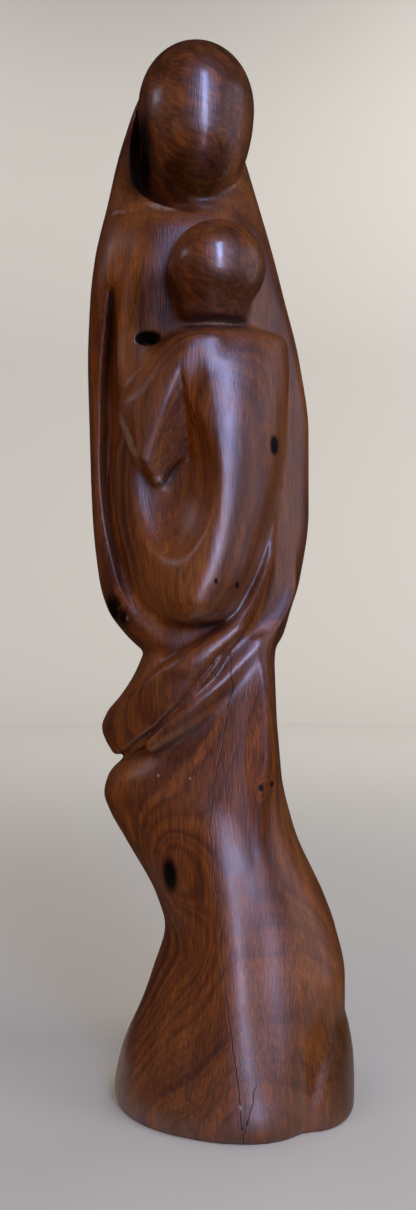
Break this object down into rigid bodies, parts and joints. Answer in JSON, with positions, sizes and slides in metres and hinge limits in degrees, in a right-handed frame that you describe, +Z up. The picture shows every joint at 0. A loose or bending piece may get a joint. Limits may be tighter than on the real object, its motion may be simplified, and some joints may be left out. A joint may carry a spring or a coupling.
{
  "type": "carved mother and child figure",
  "caption": "Carved hardwood figure of a standing mother in a long mantle who holds her child; rests on its flat underside.",
  "frame": {"origin": "on the flat underside, below the middle of the figure's box", "axes": "+Z up along the figure, -Y to its front, +X to the right as it is seen from the front"},
  "size_m": [0.1264, 0.106, 0.492],
  "materials": {
    "hardwood": "oiled and polished"
  },
  "bodies": {
    "root": {"maternity_figure": "hardwood"}
  },
  "joints": []
}
